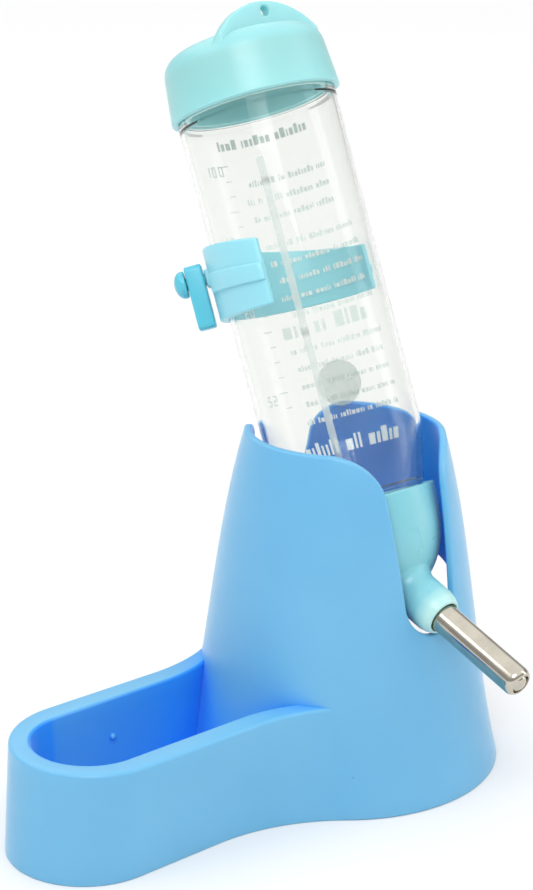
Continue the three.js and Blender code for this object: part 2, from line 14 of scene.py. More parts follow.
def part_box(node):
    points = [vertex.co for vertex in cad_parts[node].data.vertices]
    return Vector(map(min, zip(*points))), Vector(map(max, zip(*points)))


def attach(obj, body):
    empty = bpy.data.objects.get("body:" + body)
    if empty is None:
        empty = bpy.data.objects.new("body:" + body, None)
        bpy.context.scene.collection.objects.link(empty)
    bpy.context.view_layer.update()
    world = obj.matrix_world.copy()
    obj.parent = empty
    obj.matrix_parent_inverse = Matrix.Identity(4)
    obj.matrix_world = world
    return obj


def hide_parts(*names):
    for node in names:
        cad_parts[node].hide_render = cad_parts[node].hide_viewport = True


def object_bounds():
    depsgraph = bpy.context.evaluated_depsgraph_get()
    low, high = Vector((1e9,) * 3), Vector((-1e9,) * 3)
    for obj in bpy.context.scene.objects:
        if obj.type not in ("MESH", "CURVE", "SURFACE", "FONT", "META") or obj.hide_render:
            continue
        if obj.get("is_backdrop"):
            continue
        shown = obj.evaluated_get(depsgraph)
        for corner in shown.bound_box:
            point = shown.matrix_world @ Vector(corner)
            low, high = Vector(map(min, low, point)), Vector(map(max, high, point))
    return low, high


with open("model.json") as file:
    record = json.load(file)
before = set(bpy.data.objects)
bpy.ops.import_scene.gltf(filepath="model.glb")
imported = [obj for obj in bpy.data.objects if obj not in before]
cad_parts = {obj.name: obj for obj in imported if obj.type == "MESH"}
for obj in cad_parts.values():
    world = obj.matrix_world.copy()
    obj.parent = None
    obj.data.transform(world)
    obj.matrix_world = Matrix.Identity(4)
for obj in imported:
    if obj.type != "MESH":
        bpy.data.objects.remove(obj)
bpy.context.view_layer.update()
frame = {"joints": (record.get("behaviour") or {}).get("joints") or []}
joints = {joint["name"]: joint for joint in frame["joints"]}

MM = 0.001

# ---- dimensions of the stand, millimetres from the tower axis on the floor ----

TOWER_HEIGHT = 87.9
TOWER_PULLS = (41.5, 34.2, 33.5, 25.2)  # foot radius, two curve handles, rim radius
TOWER_WALL = 2.0
TOWER_EDGE = 0.6  # rounding along the wall's edges
TROUGH_HEIGHT = 27.6
TROUGH_WALL = 1.8
TROUGH_FLOOR = 2.2
POCKET_DRAFT_TOP = 32.6  # height at which the pocket has its rim outline
# Plan outlines: end, half width, flare start, flare radius
FOOT_OUTLINE = np.array((101.4, 20.1, 58.0, 48.5))
RIM_OUTLINE = np.array((99.3, 20.4, 46.0, 45.0))
POCKET_RIM = np.array((94.6, 14.6, 46.0, 36.0))
POCKET_FLOOR = np.array((93.2, 13.2, 46.0, 37.4))
FRONT_SLOT = dict(radius=8.3, centre=51.0, top_half=10.0, flare=12.0, flare_height=76.2)
BACK_SLOT = dict(radius=10.2, centre=68.0, top_half=10.4, flare=9.0, flare_height=79.2)
DOOR_RADIUS = 16.0
DOOR_SPRING = 32.0
CORNER = 1.5  # rounding of the door's foot corners

# ---- dimensions of the bottle, millimetres along its axis from the level of the tower rim ----

BOTTLE_WALL = 1.2
BODY_TOP_RADIUS = 20.5
BODY_TOP = 82.9
BODY_FOOT_RADIUS = 20.0
BODY_FOOT = -3.5
SHOULDER_RADIUS = 19.0
SHOULDER = -8.5
NECK_TOP = -17.9
MOUTH_RADIUS = 19.9
MOUTH_TOP = 94.6
NECK_RADIUS = 16.4
NECK_END = -26.2
GAP = 0.3
CAP_EDGE = 83.4
CAP_TOP = 100.2
CAP_EDGE_RADIUS = 21.9
CAP_TOP_RADIUS = 20.3
TAB_LIMIT = 20.1  # the tab ends this far from the axis
CAP_FILLET = 5.5
CAP_ROOF = 1.6
PLUG_WALL = 1.3
TAB_DISTANCE = 11.0
TAB_THICKNESS = 3.0
TAB_EDGE = 0.55
TAB_RADIUS = 20.8
TAB_TOP = 106.8
TAB_ROOT = 93.0
TAB_HOLE_RADIUS = 1.3
TAB_HOLE_HEIGHT = 104.2
NOZZLE_EDGE = -18.9
NOZZLE_EDGE_RADIUS = 19.2
NOZZLE_DOME = ((0.0, -46.0), (14.5, -46.0), (18.4, -33.5), (18.9, -24.0))
NOZZLE_WALL = 1.7
NOZZLE_LEDGE = -28.5
OUTLET_ROOT = -34.2
OUTLET_LENGTH = 25.9
OUTLET_RADIUS = 5.9
OUTLET_MOUTH_RADIUS = 4.5
OUTLET_SOCKET = 12.0
SPOUT_RADIUS = 3.75
SPOUT_WALL = 0.5
SPOUT_LENGTH = 38.5
SPOUT_TIP = 52.87
LIP_RADIUS = 2.5
LIP_ROUND = 1.9  # length of the tapering end
BALL_RADIUS = 2.9
BALL_STANDOUT = 0.55
GASKET_BORE = 11.5
CLIP_BORE = 20.6
CLIP_WALL = 1.9
CLIP_FRONT_END = math.radians(68)
CLIP_BACK_END = math.radians(209)
# Lower edge, upper edge, rib's lower edge and rib's upper edge, at the post and opposite it
CLIP_NECK_SIDE = np.array((33.0, 52.0, 40.0, 45.4))
CLIP_FAR_SIDE = np.array((32.0, 43.3, 35.8, 38.0))
RIB_HEIGHT = 0.9
RIB_GAP = math.radians(14)
LATCH_LEVEL = 44.6
PIN_RADIUS = 1.5
PIN_START = -0.6
PIN_HEAD_RADIUS = 3.5
PIN_HEAD_START = 6.0
PIN_HEAD_EDGE = 6.8
PIN_HEAD_RISE = 2.3
POST_REACH = 2.3  # half height of the post along the bottle
POST_EDGE = 0.35
LEVER_CORNER = 1.4
LEVER_EDGE = 0.55

# ---- local frames ----


def local_frame(origin, x_axis, z_axis):
    """Matrix from millimetres in a local frame to metres in the row frame."""
    z_axis = Vector(z_axis).normalized()
    y_axis = z_axis.cross(Vector(x_axis)).normalized()
    x_axis = y_axis.cross(z_axis)
    turn = Matrix((x_axis, y_axis, z_axis)).transposed().to_4x4()
    return Matrix.Translation(Vector(origin)) @ turn @ Matrix.Scale(MM, 4)


stand_low, stand_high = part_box("stand")
tower_axis = Vector((stand_low.x + FOOT_OUTLINE[0] * MM, (stand_low.y + stand_high.y) / 2, 0))
bottle_axis = Vector(joints["bottle_turn"]["axis"])
bottle_origin = Vector(joints["bottle_turn"]["pos_m"])
spout_axis = -Vector(joints["tip_ball_press"]["axis"])
latch_axis = Vector(joints["latch_turn"]["axis"])
latch_origin = Vector(joints["latch_turn"]["pos_m"])

stand_frame = local_frame(tower_axis, (1, 0, 0), (0, 0, 1))
bottle_frame = local_frame(bottle_origin, (1, 0, 0), bottle_axis)
outlet_frame = local_frame(bottle_origin + bottle_axis * OUTLET_ROOT * MM, (1, 0, 0), spout_axis)
clip_frame = local_frame(bottle_origin, latch_axis, bottle_axis)
latch_frame = local_frame(latch_origin, bottle_axis.cross(latch_axis), latch_axis)

# ---- mesh helpers ----

WELD = 1e-3  # points closer than this, in millimetres, are one
SMOOTH_ANGLE = math.radians(38)


def linked(name, data):
    obj = bpy.data.objects.new(name, data)
    bpy.context.scene.collection.objects.link(obj)
    return obj


def finish_mesh(name, vertices, faces, place, fill_holes=False):
    """Welds, orients and smooths a mesh drawn in millimetres and returns its object."""
    mesh = bpy.data.meshes.new(name)
    mesh.from_pydata([tuple(map(float, v)) for v in vertices], [], faces)
    bm = bmesh.new()
    bm.from_mesh(mesh)
    bmesh.ops.remove_doubles(bm, verts=bm.verts, dist=WELD)
    if fill_holes:
        open_edges = [edge for edge in bm.edges if edge.is_boundary]
        filled = bmesh.ops.holes_fill(bm, edges=open_edges, sides=0)["faces"]
        bmesh.ops.triangulate(bm, faces=filled)
    bmesh.ops.recalc_face_normals(bm, faces=bm.faces)
    bm.to_mesh(mesh)
    bm.free()
    mesh.transform(place)
    mesh.shade_smooth()
    mesh.set_sharp_from_angle(angle=SMOOTH_ANGLE)
    return linked(name, mesh)


def grid_faces(rows, columns, wrap_rows=False, wrap_columns=False, start=0):
    """Quads of a grid whose points are numbered row by row."""
    faces = []
    for i in range(rows if wrap_rows else rows - 1):
        for j in range(columns if wrap_columns else columns - 1):
            k, m = (i + 1) % rows, (j + 1) % columns
            faces.append([start + i * columns + j, start + i * columns + m,
                          start + k * columns + m, start + k * columns + j])
    return faces


def rounded(points, radii, closed=True, steps=5):
    """Replaces the corners of a polyline with arcs. A radius of 0 keeps a corner."""
    points = [np.array(p, float) for p in points]
    count = len(points)
    if np.isscalar(radii):
        radii = [radii] * count
    result = []
    for i, (corner, radius) in enumerate(zip(points, radii)):
        if radius == 0 or (not closed and i in (0, count - 1)):
            result.append(corner)
            continue
        before, after = points[i - 1] - corner, points[(i + 1) % count] - corner
        length_before, length_after = np.linalg.norm(before), np.linalg.norm(after)
        before, after = before / length_before, after / length_after
        half = math.acos(max(-1.0, min(1.0, float(before @ after)))) / 2
        if half > math.radians(89.5):
            result.append(corner)
            continue
        reach = min(radius / math.tan(half), 0.48 * length_before, 0.48 * length_after)
        radius = reach * math.tan(half)
        bisector = (before + after) / np.linalg.norm(before + after)
        centre = corner + bisector * radius / math.sin(half)
        start, end = corner + before * reach - centre, corner + after * reach - centre
        sweep = math.pi - 2 * half
        for k in range(steps + 1):
            t = k / steps
            arc = (math.sin((1 - t) * sweep) * start + math.sin(t * sweep) * end) / math.sin(sweep)
            result.append(centre + arc)
    return result


def cubic(t, a, b, c, d):
    return (1 - t) ** 3 * a + 3 * (1 - t) ** 2 * t * b + 3 * (1 - t) * t ** 2 * c + t ** 3 * d


def bezier(handles, steps):
    """Points along a cubic curve."""
    return cubic(np.linspace(0, 1, steps + 1)[:, None], *(np.array(p, float) for p in handles))


def turned_piece(name, profile, place, segments=128, closed=True):
    """Surface of revolution about local Z."""
    angles = np.linspace(0, 2 * math.pi, segments, endpoint=False)
    vertices = [(r * math.cos(a), r * math.sin(a), z) for r, z in profile for a in angles]
    faces = grid_faces(len(profile), segments, wrap_rows=closed, wrap_columns=True)
    return finish_mesh(name, vertices, faces, place)


def resampled(points, spacing, closed=False):
    """Even points along a polyline; both ends stay when it is open."""
    points = np.array(points, float)
    if closed:
        points = np.vstack((points, points[:1]))
    lengths = np.concatenate(((0,), np.cumsum(np.linalg.norm(np.diff(points, axis=0), axis=1))))
    count = max(2, int(round(lengths[-1] / spacing)))
    at = np.linspace(0, lengths[-1], count + 1)
    if closed:
        at = at[:-1]
    return np.column_stack([np.interp(at, lengths, points[:, k]) for k in range(points.shape[1])])


def inside(points, loops):
    """True for each point inside the even-odd area of the loops."""
    result = np.zeros(len(points), bool)
    x, y = points[:, 0], points[:, 1]
    for loop in loops:
        for (x0, y0), (x1, y1) in zip(loop, np.roll(loop, -1, axis=0)):
            if y0 == y1:
                continue
            crosses = (y0 > y) != (y1 > y)
            result ^= crosses & (x < (x1 - x0) * (y - y0) / (y1 - y0) + x0)
    return result


def wall(loops, outer, inner, rounding, spacing, steps=4):
    """A wall of even thickness between two surfaces, with rounded edges, as vertices and faces.

    loops lists closed loops in the surfaces' own plane, the material on their left. Each loop is a
    list of (points, edged) runs: a run that isn't edged is a seam. outer and inner turn points of
    the plane into points in space."""
    step = 1e-3

    def slopes(points):
        across = (outer(points + (step, 0)) - outer(points - (step, 0))) / (2 * step)
        up = (outer(points + (0, step)) - outer(points - (0, step))) / (2 * step)
        return across, up

    plane, chains = [], []
    for loop in loops:
        inset_loop = []
        for points, edged in loop:
            if not edged:
                inset_loop.append(points)
                continue
            space = outer(points)
            if len(loop) == 1:
                along = np.roll(space, -1, axis=0) - np.roll(space, 1, axis=0)
            else:
                along = np.gradient(space, axis=0)
            across, up = slopes(points)
            normal = np.cross(across, up)
            outwards = np.cross(along, normal)
            outwards /= np.linalg.norm(outwards, axis=1)[:, None]
            shift = np.stack([
                np.linalg.lstsq(np.column_stack((a, b)), m, rcond=None)[0]
                for a, b, m in zip(across, up, outwards)
            ])
            inset = points - rounding * shift
            chains.append((inset, outwards, len(loop) == 1))
            inset_loop.append(inset)
        plane.append(np.vstack(inset_loop))
    borders = np.vstack(plane)
    edges, start = [], 0
    for loop in plane:
        count = len(loop)
        edges += [(start + k, start + (k + 1) % count) for k in range(count)]
        start += count
    points = borders
    if spacing:
        low, high = borders.min(0), borders.max(0)
        columns = np.arange(low[0] + spacing / 2, high[0], spacing)
        rows = np.arange(low[1] + spacing / 2, high[1], spacing * 0.866)
        filling = np.array([
            (x + (spacing / 2 if k % 2 else 0), y) for k, y in enumerate(rows) for x in columns
        ])
        filling = filling[inside(filling, plane)]
        clearance = (0.6 * spacing) ** 2
        clear = [np.min(np.sum((borders - p) ** 2, axis=1)) > clearance for p in filling]
        points = np.vstack((borders, filling[np.array(clear)]))
    found = delaunay_2d_cdt([Vector(p) for p in points], edges, [], 1, 1e-5)
    flat = np.array([tuple(v) for v in found[0]])
    triangles = [list(t) for t in found[2]]
    within = inside(np.array([flat[t].mean(axis=0) for t in triangles]), plane)
    triangles = [t for t, kept in zip(triangles, within) if kept]
    above, below = outer(flat), inner(flat)
    vertices = list(above) + list(below)
    faces = triangles + [[k + len(above) for k in reversed(t)] for t in triangles]
    for inset, outwards, closed in chains:
        top, bottom = outer(inset), inner(inset)
        through = top - bottom
        thickness = np.linalg.norm(through, axis=1)[:, None]
        through = through / thickness
        quarter = [math.pi / 2 * k / steps for k in range(steps + 1)]
        rows = [
            edge + outwards * rounding * math.sin(turn) - inwards * rounding * (1 - math.cos(turn))
            for edge, inwards, turns in ((top, through, quarter), (bottom, -through, quarter[::-1]))
            for turn in turns
        ]
        start = len(vertices)
        for row in rows:
            vertices += list(row)
        faces += grid_faces(len(rows), len(inset), wrap_columns=closed, start=start)
    return vertices, faces


def plate(name, loops, low, high, rounding, place):
    """A flat plate with rounded edges from loops in local XY, between two heights."""
    flat = [[(np.array(loop, float), True)] for loop in loops]

    def at(height):
        return lambda p: np.column_stack((p, np.full(len(p), height)))

    vertices, faces = wall(flat, at(high), at(low), rounding, None)
    return finish_mesh(name, vertices, faces, place)


def arc(centre, radius, start, end, steps):
    """Points on an arc, angles in radians."""
    angles = np.linspace(start, end, steps + 1)
    return [(centre[0] + radius * math.cos(a), centre[1] + radius * math.sin(a)) for a in angles]


def united(obj, *others, operation="UNION", crossing=False):
    """Boolean union, or another operation, of closed meshes into the first one."""
    for other in others:
        modifier = obj.modifiers.new("union", "BOOLEAN")
        modifier.operation = operation
        modifier.solver = "EXACT"
        modifier.use_self = crossing
        modifier.object = other
        depsgraph = bpy.context.evaluated_depsgraph_get()
        mesh = bpy.data.meshes.new_from_object(obj.evaluated_get(depsgraph))
        obj.modifiers.clear()
        obj.data = mesh
        bpy.data.objects.remove(other)
    obj.data.shade_smooth()
    obj.data.set_sharp_from_angle(angle=SMOOTH_ANGLE)
    return obj


# ---- materials ----


def srgb(red, green, blue):
    """Linear colour from 8-bit display values."""
    def linear(value):
        value /= 255
        return value / 12.92 if value <= 0.04045 else ((value + 0.055) / 1.055) ** 2.4
    return (linear(red), linear(green), linear(blue), 1.0)


class Nodes:
    """Short hand for building one node tree."""

    def __init__(self, name):
        self.material = bpy.data.materials.new(name)
        self.material.use_nodes = True
        self.tree = self.material.node_tree
        self.shader = self.tree.nodes["Principled BSDF"]
        self.output = self.tree.nodes["Material Output"]
        self.place = self.add("ShaderNodeTexCoord").outputs["Object"]

    def add(self, kind, inputs=None, **settings):
        node = self.tree.nodes.new(kind)
        for key, value in settings.items():
            setattr(node, key, value)
        for key, value in (inputs or {}).items():
            if isinstance(value, bpy.types.NodeSocket):
                self.tree.links.new(value, node.inputs[key])
            else:
                node.inputs[key].default_value = value
        return node

    def noise(self, scale, detail=2.0):
        inputs = {"Vector": self.place, "Scale": scale, "Detail": detail}
        return self.add("ShaderNodeTexNoise", inputs).outputs["Fac"]

    def spread(self, value, low, high, from_low=0.3, from_high=0.7):
        node = self.add("ShaderNodeMapRange", {
            "Value": value, "From Min": from_low, "From Max": from_high, "To Min": low, "To Max": high,
        })
        return node.outputs["Result"]

    def mix(self, factor, first, second):
        inputs = {"Factor": factor, "A": first, "B": second}
        return self.add("ShaderNodeMix", inputs, data_type="RGBA").outputs["Result"]

    def vector(self, operation, *values, output="Vector"):
        node = self.add("ShaderNodeVectorMath", dict(enumerate(values)), operation=operation)
        return node.outputs[output]

    def maximum(self, first, second):
        return self.add("ShaderNodeMath", {0: first, 1: second}, operation="MAXIMUM").outputs[0]

    def into(self, name, output):
        """Feeds an output into one of the shader's inputs."""
        self.tree.links.new(output, self.shader.inputs[name])

    def bump(self, height, distance, strength):
        node = self.add("ShaderNodeBump", {"Height": height, "Distance": distance, "Strength": strength})
        self.into("Normal", node.outputs["Normal"])

    def set(self, **values):
        for key, value in values.items():
            self.shader.inputs[key.replace("_", " ")].default_value = value


GRAIN_SCALE = 2600.0  # per metre, a fine moulded grain
GRAIN_DEPTH = 0.00002  # metres
CLOUD_SCALE = 28.0  # slow drift of tone across a moulding
SCUFF_SCALE = 240.0
GLOW_TINT = (0.5, 0.8, 1.0)  # blue light travels furthest inside the plastic
PLASTIC_IOR = 1.49
STREAK = 14.0  # how much longer than wide the steel's lines are
FALLING_TINT = 0.93  # how much darker the second tone of a film is


def moulded_plastic(name, colour, deeper, roughness, glow, glow_radius, sheen=0.12):
    """Injection-moulded plastic: slow tone drift, fine grain, uneven polish and a little depth."""
    nodes = Nodes(name)
    tone = nodes.spread(nodes.noise(CLOUD_SCALE), 0.0, 1.0)
    nodes.into("Base Color", nodes.mix(tone, colour, deeper))
    polish = nodes.spread(nodes.noise(SCUFF_SCALE, 4.0), roughness - 0.04, roughness + 0.05)
    nodes.into("Roughness", polish)
    nodes.bump(nodes.noise(GRAIN_SCALE, 3.0), GRAIN_DEPTH, 0.35)
    nodes.set(
        Subsurface_Weight=glow, Subsurface_Scale=glow_radius, Subsurface_Radius=GLOW_TINT,
        IOR=PLASTIC_IOR, Sheen_Weight=sheen, Sheen_Roughness=0.3,
    )
    return nodes


def stand_material():
    """Sky-blue polypropylene with a few dark specks in it. Painted shade and glow: its hollows and the
    inside of the tower are painted a deeper, bluer tone.
    """
    nodes = moulded_plastic(
        "stand_blue", srgb(106, 175, 213), srgb(99, 169, 209), 0.36, 0.25, 0.003, 0.3)
    base = nodes.shader.inputs["Base Color"].links[0].from_socket
    # Painted shade and glow: where occlusion is close, or where the tower wall faces inwards, the colour
    # is mixed towards a deeper blue.
    open_sky = nodes.add("ShaderNodeAmbientOcclusion", {"Distance": 0.024}, only_local=True)
    painted_hollow_shade = nodes.spread(open_sky.outputs["AO"], 1.0, 0.0, 0.42, 0.9)
    away = nodes.vector("SUBTRACT", nodes.place, tower_axis)
    radial = nodes.vector("NORMALIZE", nodes.vector("MULTIPLY", away, (1, 1, 0)))
    normal = nodes.add("ShaderNodeTexCoord").outputs["Normal"]
    facing = nodes.vector("DOT_PRODUCT", radial, normal, output="Value")
    painted_inner_wall_shade = nodes.spread(facing, 0.9, 0.0, -0.3, -0.05)
    base = nodes.mix(nodes.maximum(painted_hollow_shade, painted_inner_wall_shade), base, srgb(42, 148, 240))
    specks = nodes.add("ShaderNodeTexVoronoi", {"Vector": nodes.place, "Scale": 34.0})
    speck = nodes.spread(specks.outputs["Distance"], 1.0, 0.0, 0.012, 0.022)
    nodes.into("Base Color", nodes.mix(speck, base, srgb(58, 112, 176)))
    return nodes.material


def nozzle_material():
    """Translucent cap plastic with a painted glow: it turns paler towards the mouth of its outlet, where
    light shows through the thin plastic.
    """
    nodes = moulded_plastic(
        "nozzle_aqua", srgb(127, 194, 204), srgb(120, 188, 200), 0.3, 0.1, 0.002)
    base = nodes.shader.inputs["Base Color"].links[0].from_socket
    # Painted glow: the last few millimetres of the outlet are mixed towards a pale aqua.
    away = nodes.vector("SUBTRACT", nodes.place, outlet_frame.translation)
    along = nodes.vector("DOT_PRODUCT", away, spout_axis, output="Value")
    glow_from, glow_to = (OUTLET_LENGTH - 5.0) * MM, (OUTLET_LENGTH - 1.5) * MM
    mouth = nodes.spread(along, 0.0, 0.75, glow_from, glow_to)
    nodes.into("Base Color", nodes.mix(mouth, base, srgb(188, 226, 220)))
    return nodes.material


def clear_material():
    """Clear polystyrene with a slight milkiness. Light passes straight through to what it holds."""
    nodes = Nodes("clear_polystyrene")
    nodes.set(IOR=1.24, Base_Color=srgb(248, 249, 247))
    nodes.into("Transmission Weight", nodes.spread(nodes.noise(60.0, 3.0), 0.99, 0.975))
    nodes.into("Roughness", nodes.spread(nodes.noise(90.0, 3.0), 0.02, 0.06))
    nodes.bump(nodes.noise(45.0, 1.0), 0.00006, 0.15)
    clear = nodes.add("ShaderNodeBsdfTransparent", {"Color": srgb(251, 253, 252)})
    path = nodes.add("ShaderNodeLightPath").outputs
    both = nodes.add("ShaderNodeMixShader", {
        0: nodes.maximum(path["Is Shadow Ray"], path["Is Diffuse Ray"]),
        1: nodes.shader.outputs[0], 2: clear.outputs[0],
    })
    nodes.tree.links.new(both.outputs[0], nodes.output.inputs["Surface"])
    return nodes.material


def film_material(name, colour, cover):
    """Thin printed film or ink that partly shows what is behind it."""
    nodes = Nodes(name)
    tone = nodes.spread(nodes.noise(400.0, 3.0), 0.0, 1.0)
    darker = tuple(c * FALLING_TINT for c in colour[:3]) + (1.0,)
    nodes.into("Base Color", nodes.mix(tone, colour, darker))
    nodes.set(Roughness=0.35, Alpha=cover)
    return nodes.material


def steel_material():
    """Drawn and polished stainless steel with faint lengthwise lines."""
    nodes = Nodes("polished_steel")
    nodes.set(Metallic=1.0)
    tone = nodes.spread(nodes.noise(300.0, 4.0), 0.0, 1.0)
    nodes.into("Base Color", nodes.mix(tone, srgb(200, 194, 180), srgb(186, 180, 168)))
    along = nodes.add("ShaderNodeMapping", {
        "Vector": nodes.place, "Rotation": outlet_frame.to_euler(), "Scale": (1.0, 1.0, STREAK),
    }, vector_type="TEXTURE").outputs[0]
    lines = nodes.add("ShaderNodeTexNoise", {"Vector": along, "Scale": 1500.0, "Detail": 3.0})
    nodes.into("Roughness", nodes.spread(lines.outputs["Fac"], 0.08, 0.16))
    nodes.bump(lines.outputs["Fac"], 0.00001, 0.3)
    return nodes.material


def silicone_material():
    nodes = Nodes("silicone")
    tone = nodes.spread(nodes.noise(200.0), 0.0, 1.0)
    nodes.into("Base Color", nodes.mix(tone, srgb(232, 237, 237), srgb(220, 227, 228)))
    nodes.set(Roughness=0.55, Subsurface_Weight=0.3, Subsurface_Scale=0.002)
    nodes.bump(nodes.noise(3000.0), 0.00002, 0.3)
    return nodes.material


STAND_BLUE = stand_material()
CLEAR = clear_material()
CAP_AQUA = moulded_plastic(
    "cap_aqua", srgb(148, 207, 208), srgb(141, 202, 205), 0.34, 0.35, 0.006).material
CLIP_AQUA = moulded_plastic(
    "clip_aqua", srgb(147, 210, 222), srgb(139, 205, 219), 0.32, 0.3, 0.004).material
# Painted shade: a darker, more saturated copy of the clip's aqua, used for the latch bar and pin.
LATCH_AQUA_SHADED = moulded_plastic(
    "latch_aqua", srgb(88, 187, 206), srgb(78, 181, 203), 0.3, 0.2, 0.003).material
NOZZLE_AQUA = nozzle_material()
STEEL = steel_material()
SILICONE = silicone_material()
INK = film_material("ink", srgb(251, 253, 252), 0.8)
FILM = film_material("film_edge", srgb(206, 216, 212), 0.4)


def piece(obj, material, body, slot, *nodes):
    """Dresses a piece, sets it riding on its body and lets it stand for CAD nodes."""
    obj.data.materials.clear()
    obj.data.materials.append(material)
    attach(obj, body)
    if nodes:
        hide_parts(*nodes)
    return obj


# ---- stand ----


def tower_radius(height):
    return cubic(np.clip(np.asarray(height, float) / TOWER_HEIGHT, 0, 1), *TOWER_PULLS)


def slot_path(radius, centre, top_half, flare, flare_height):
    """Edge of a U-shaped slot from one end of its mouth to the other, seen square on."""
    flare_centre = top_half + flare
    reach = math.acos((TOWER_HEIGHT - flare_height) / flare)
    left = arc((-flare_centre, flare_height), flare, math.pi / 2 - reach, 0, 16)
    bottom = arc((0, centre), radius, math.pi, 2 * math.pi, 32)
    right = [(-x, z) for x, z in reversed(left)]
    return left + bottom + right


def wrapped(path, facing):
    """Puts a path seen square on at the tower onto its wall, as angle and height."""
    path = np.array(path)
    angle = facing + np.arcsin(path[:, 0] / tower_radius(path[:, 1]))
    return np.column_stack((angle, path[:, 1]))


def rim_run(start, end, height, spacing=1.6):
    count = max(2, int(abs(end - start) * tower_radius(height) / spacing))
    angles = np.linspace(start, end, count + 1)
    return np.column_stack((angles, np.full(len(angles), height)))


WALL_SCALE = 34.0  # makes the unrolled wall about as wide as it is round


def tower():
    """Hollow tower wall with its two slots and the hut door."""
    front = wrapped(resampled(slot_path(**FRONT_SLOT), 1.0), -math.pi / 2)
    back = wrapped(resampled(slot_path(**BACK_SLOT), 1.0), math.pi / 2)
    door_line = [(-DOOR_RADIUS - 6, 0), (-DOOR_RADIUS, 0), (-DOOR_RADIUS, DOOR_SPRING)]
    door_line = rounded(door_line, CORNER, closed=False)
    arch = arc((0, DOOR_SPRING), DOOR_RADIUS, math.pi, 0, 40)
    mirrored = [(-x, z) for x, z in reversed(door_line)]
    door = wrapped(resampled([*door_line, *arch, *mirrored], 0.8), 0)
    lower = np.vstack((
        rim_run(-math.pi, door[0, 0], 0.0)[:-1],
        door,
        rim_run(door[-1, 0], math.pi, 0.0)[1:],
    ))
    upper = np.vstack((
        rim_run(-math.pi, front[0, 0], TOWER_HEIGHT)[:-1],
        front,
        rim_run(front[-1, 0], back[0, 0], TOWER_HEIGHT)[1:-1],
        back,
        rim_run(back[-1, 0], math.pi, TOWER_HEIGHT)[1:],
    ))[::-1]
    seam_heights = np.arange(TOWER_EDGE + 1.5, TOWER_HEIGHT - TOWER_EDGE - 1, 2.0)
    right_seam = np.column_stack((np.full(len(seam_heights), math.pi), seam_heights))
    left_seam = np.column_stack((np.full(len(seam_heights), -math.pi), seam_heights))[::-1]
    stretch = np.array((WALL_SCALE, 1.0))

    def on_wall(inset):
        def place(points):
            angle, height = points[:, 0] / WALL_SCALE, points[:, 1]
            radius = tower_radius(height) - inset
            return np.column_stack((radius * np.cos(angle), radius * np.sin(angle), height))
        return place

    loop = [(lower * stretch, True), (right_seam * stretch, False),
            (upper * stretch, True), (left_seam * stretch, False)]
    vertices, faces = wall([loop], on_wall(0), on_wall(TOWER_WALL), TOWER_EDGE, 2.2)
    return finish_mesh("tower", vertices, faces, stand_frame)


FLARE_STEPS, SIDE_STEPS, ROUND_STEPS = 22, 8, 44
EMBED = 1.2  # how deep the trough's walls run into the tower wall


def trough_ring(outline, margin, height):
    """One level of a trough wall: in from the tower, round the end and back."""
    end, half, flare_start, flare_radius = outline
    half, end = half + margin, end + margin
    flare_radius = flare_radius - margin
    end_centre = -(end - half)
    tower_at = float(tower_radius(height))
    centre = np.array((-flare_start, half + flare_radius))
    nearest = math.atan2(-centre[0], centre[1])
    low, high = 0.0, nearest
    for _ in range(40):
        middle = (low + high) / 2
        x = centre[0] + flare_radius * math.sin(middle)
        y = centre[1] - flare_radius * math.cos(middle)
        if math.hypot(x, y) > tower_at - 0.3:
            low = middle
        else:
            high = middle
    angles = np.linspace(low, 0, FLARE_STEPS + 1)
    flare = np.column_stack((centre[0] + flare_radius * np.sin(angles),
                             centre[1] - flare_radius * np.cos(angles)))
    rooted = flare[0] * (tower_at - EMBED) / np.linalg.norm(flare[0])
    straight = [(x, half) for x in np.linspace(-flare_start, end_centre, SIDE_STEPS + 1)[1:-1]]
    side = np.vstack((rooted[None], flare, np.array(straight)))
    turn = np.linspace(math.pi / 2, 3 * math.pi / 2, ROUND_STEPS + 1)
    end_round = np.column_stack((end_centre + half * np.cos(turn), half * np.sin(turn)))
    ring = np.vstack((side, end_round, (side * (1, -1))[::-1]))
    return np.column_stack((ring, np.full(len(ring), height)))


def outer_outline(height):
    share = height / TROUGH_HEIGHT
    return FOOT_OUTLINE * (1 - share) + RIM_OUTLINE * share


def pocket_outline(height):
    share = (height - TROUGH_FLOOR) / (POCKET_DRAFT_TOP - TROUGH_FLOOR)
    return POCKET_FLOOR * (1 - share) + POCKET_RIM * share


def floor_rungs(ring, steps=12):
    """Flat floor inside a ring, following the tower where it meets it."""
    count = len(ring)
    rungs = []
    for i in range(count // 2 + 1):
        left, right = ring[i], ring[count - 1 - i]
        across = np.linspace(0, 1, steps + 1)[:, None]
        rung = left * (1 - across) + right * across
        if i <= FLARE_STEPS + 1:
            reach = np.linalg.norm(left[:2])
            rung[:, 0] = -np.sqrt(reach ** 2 - rung[:, 1] ** 2)
        rungs.append(rung)
    return rungs


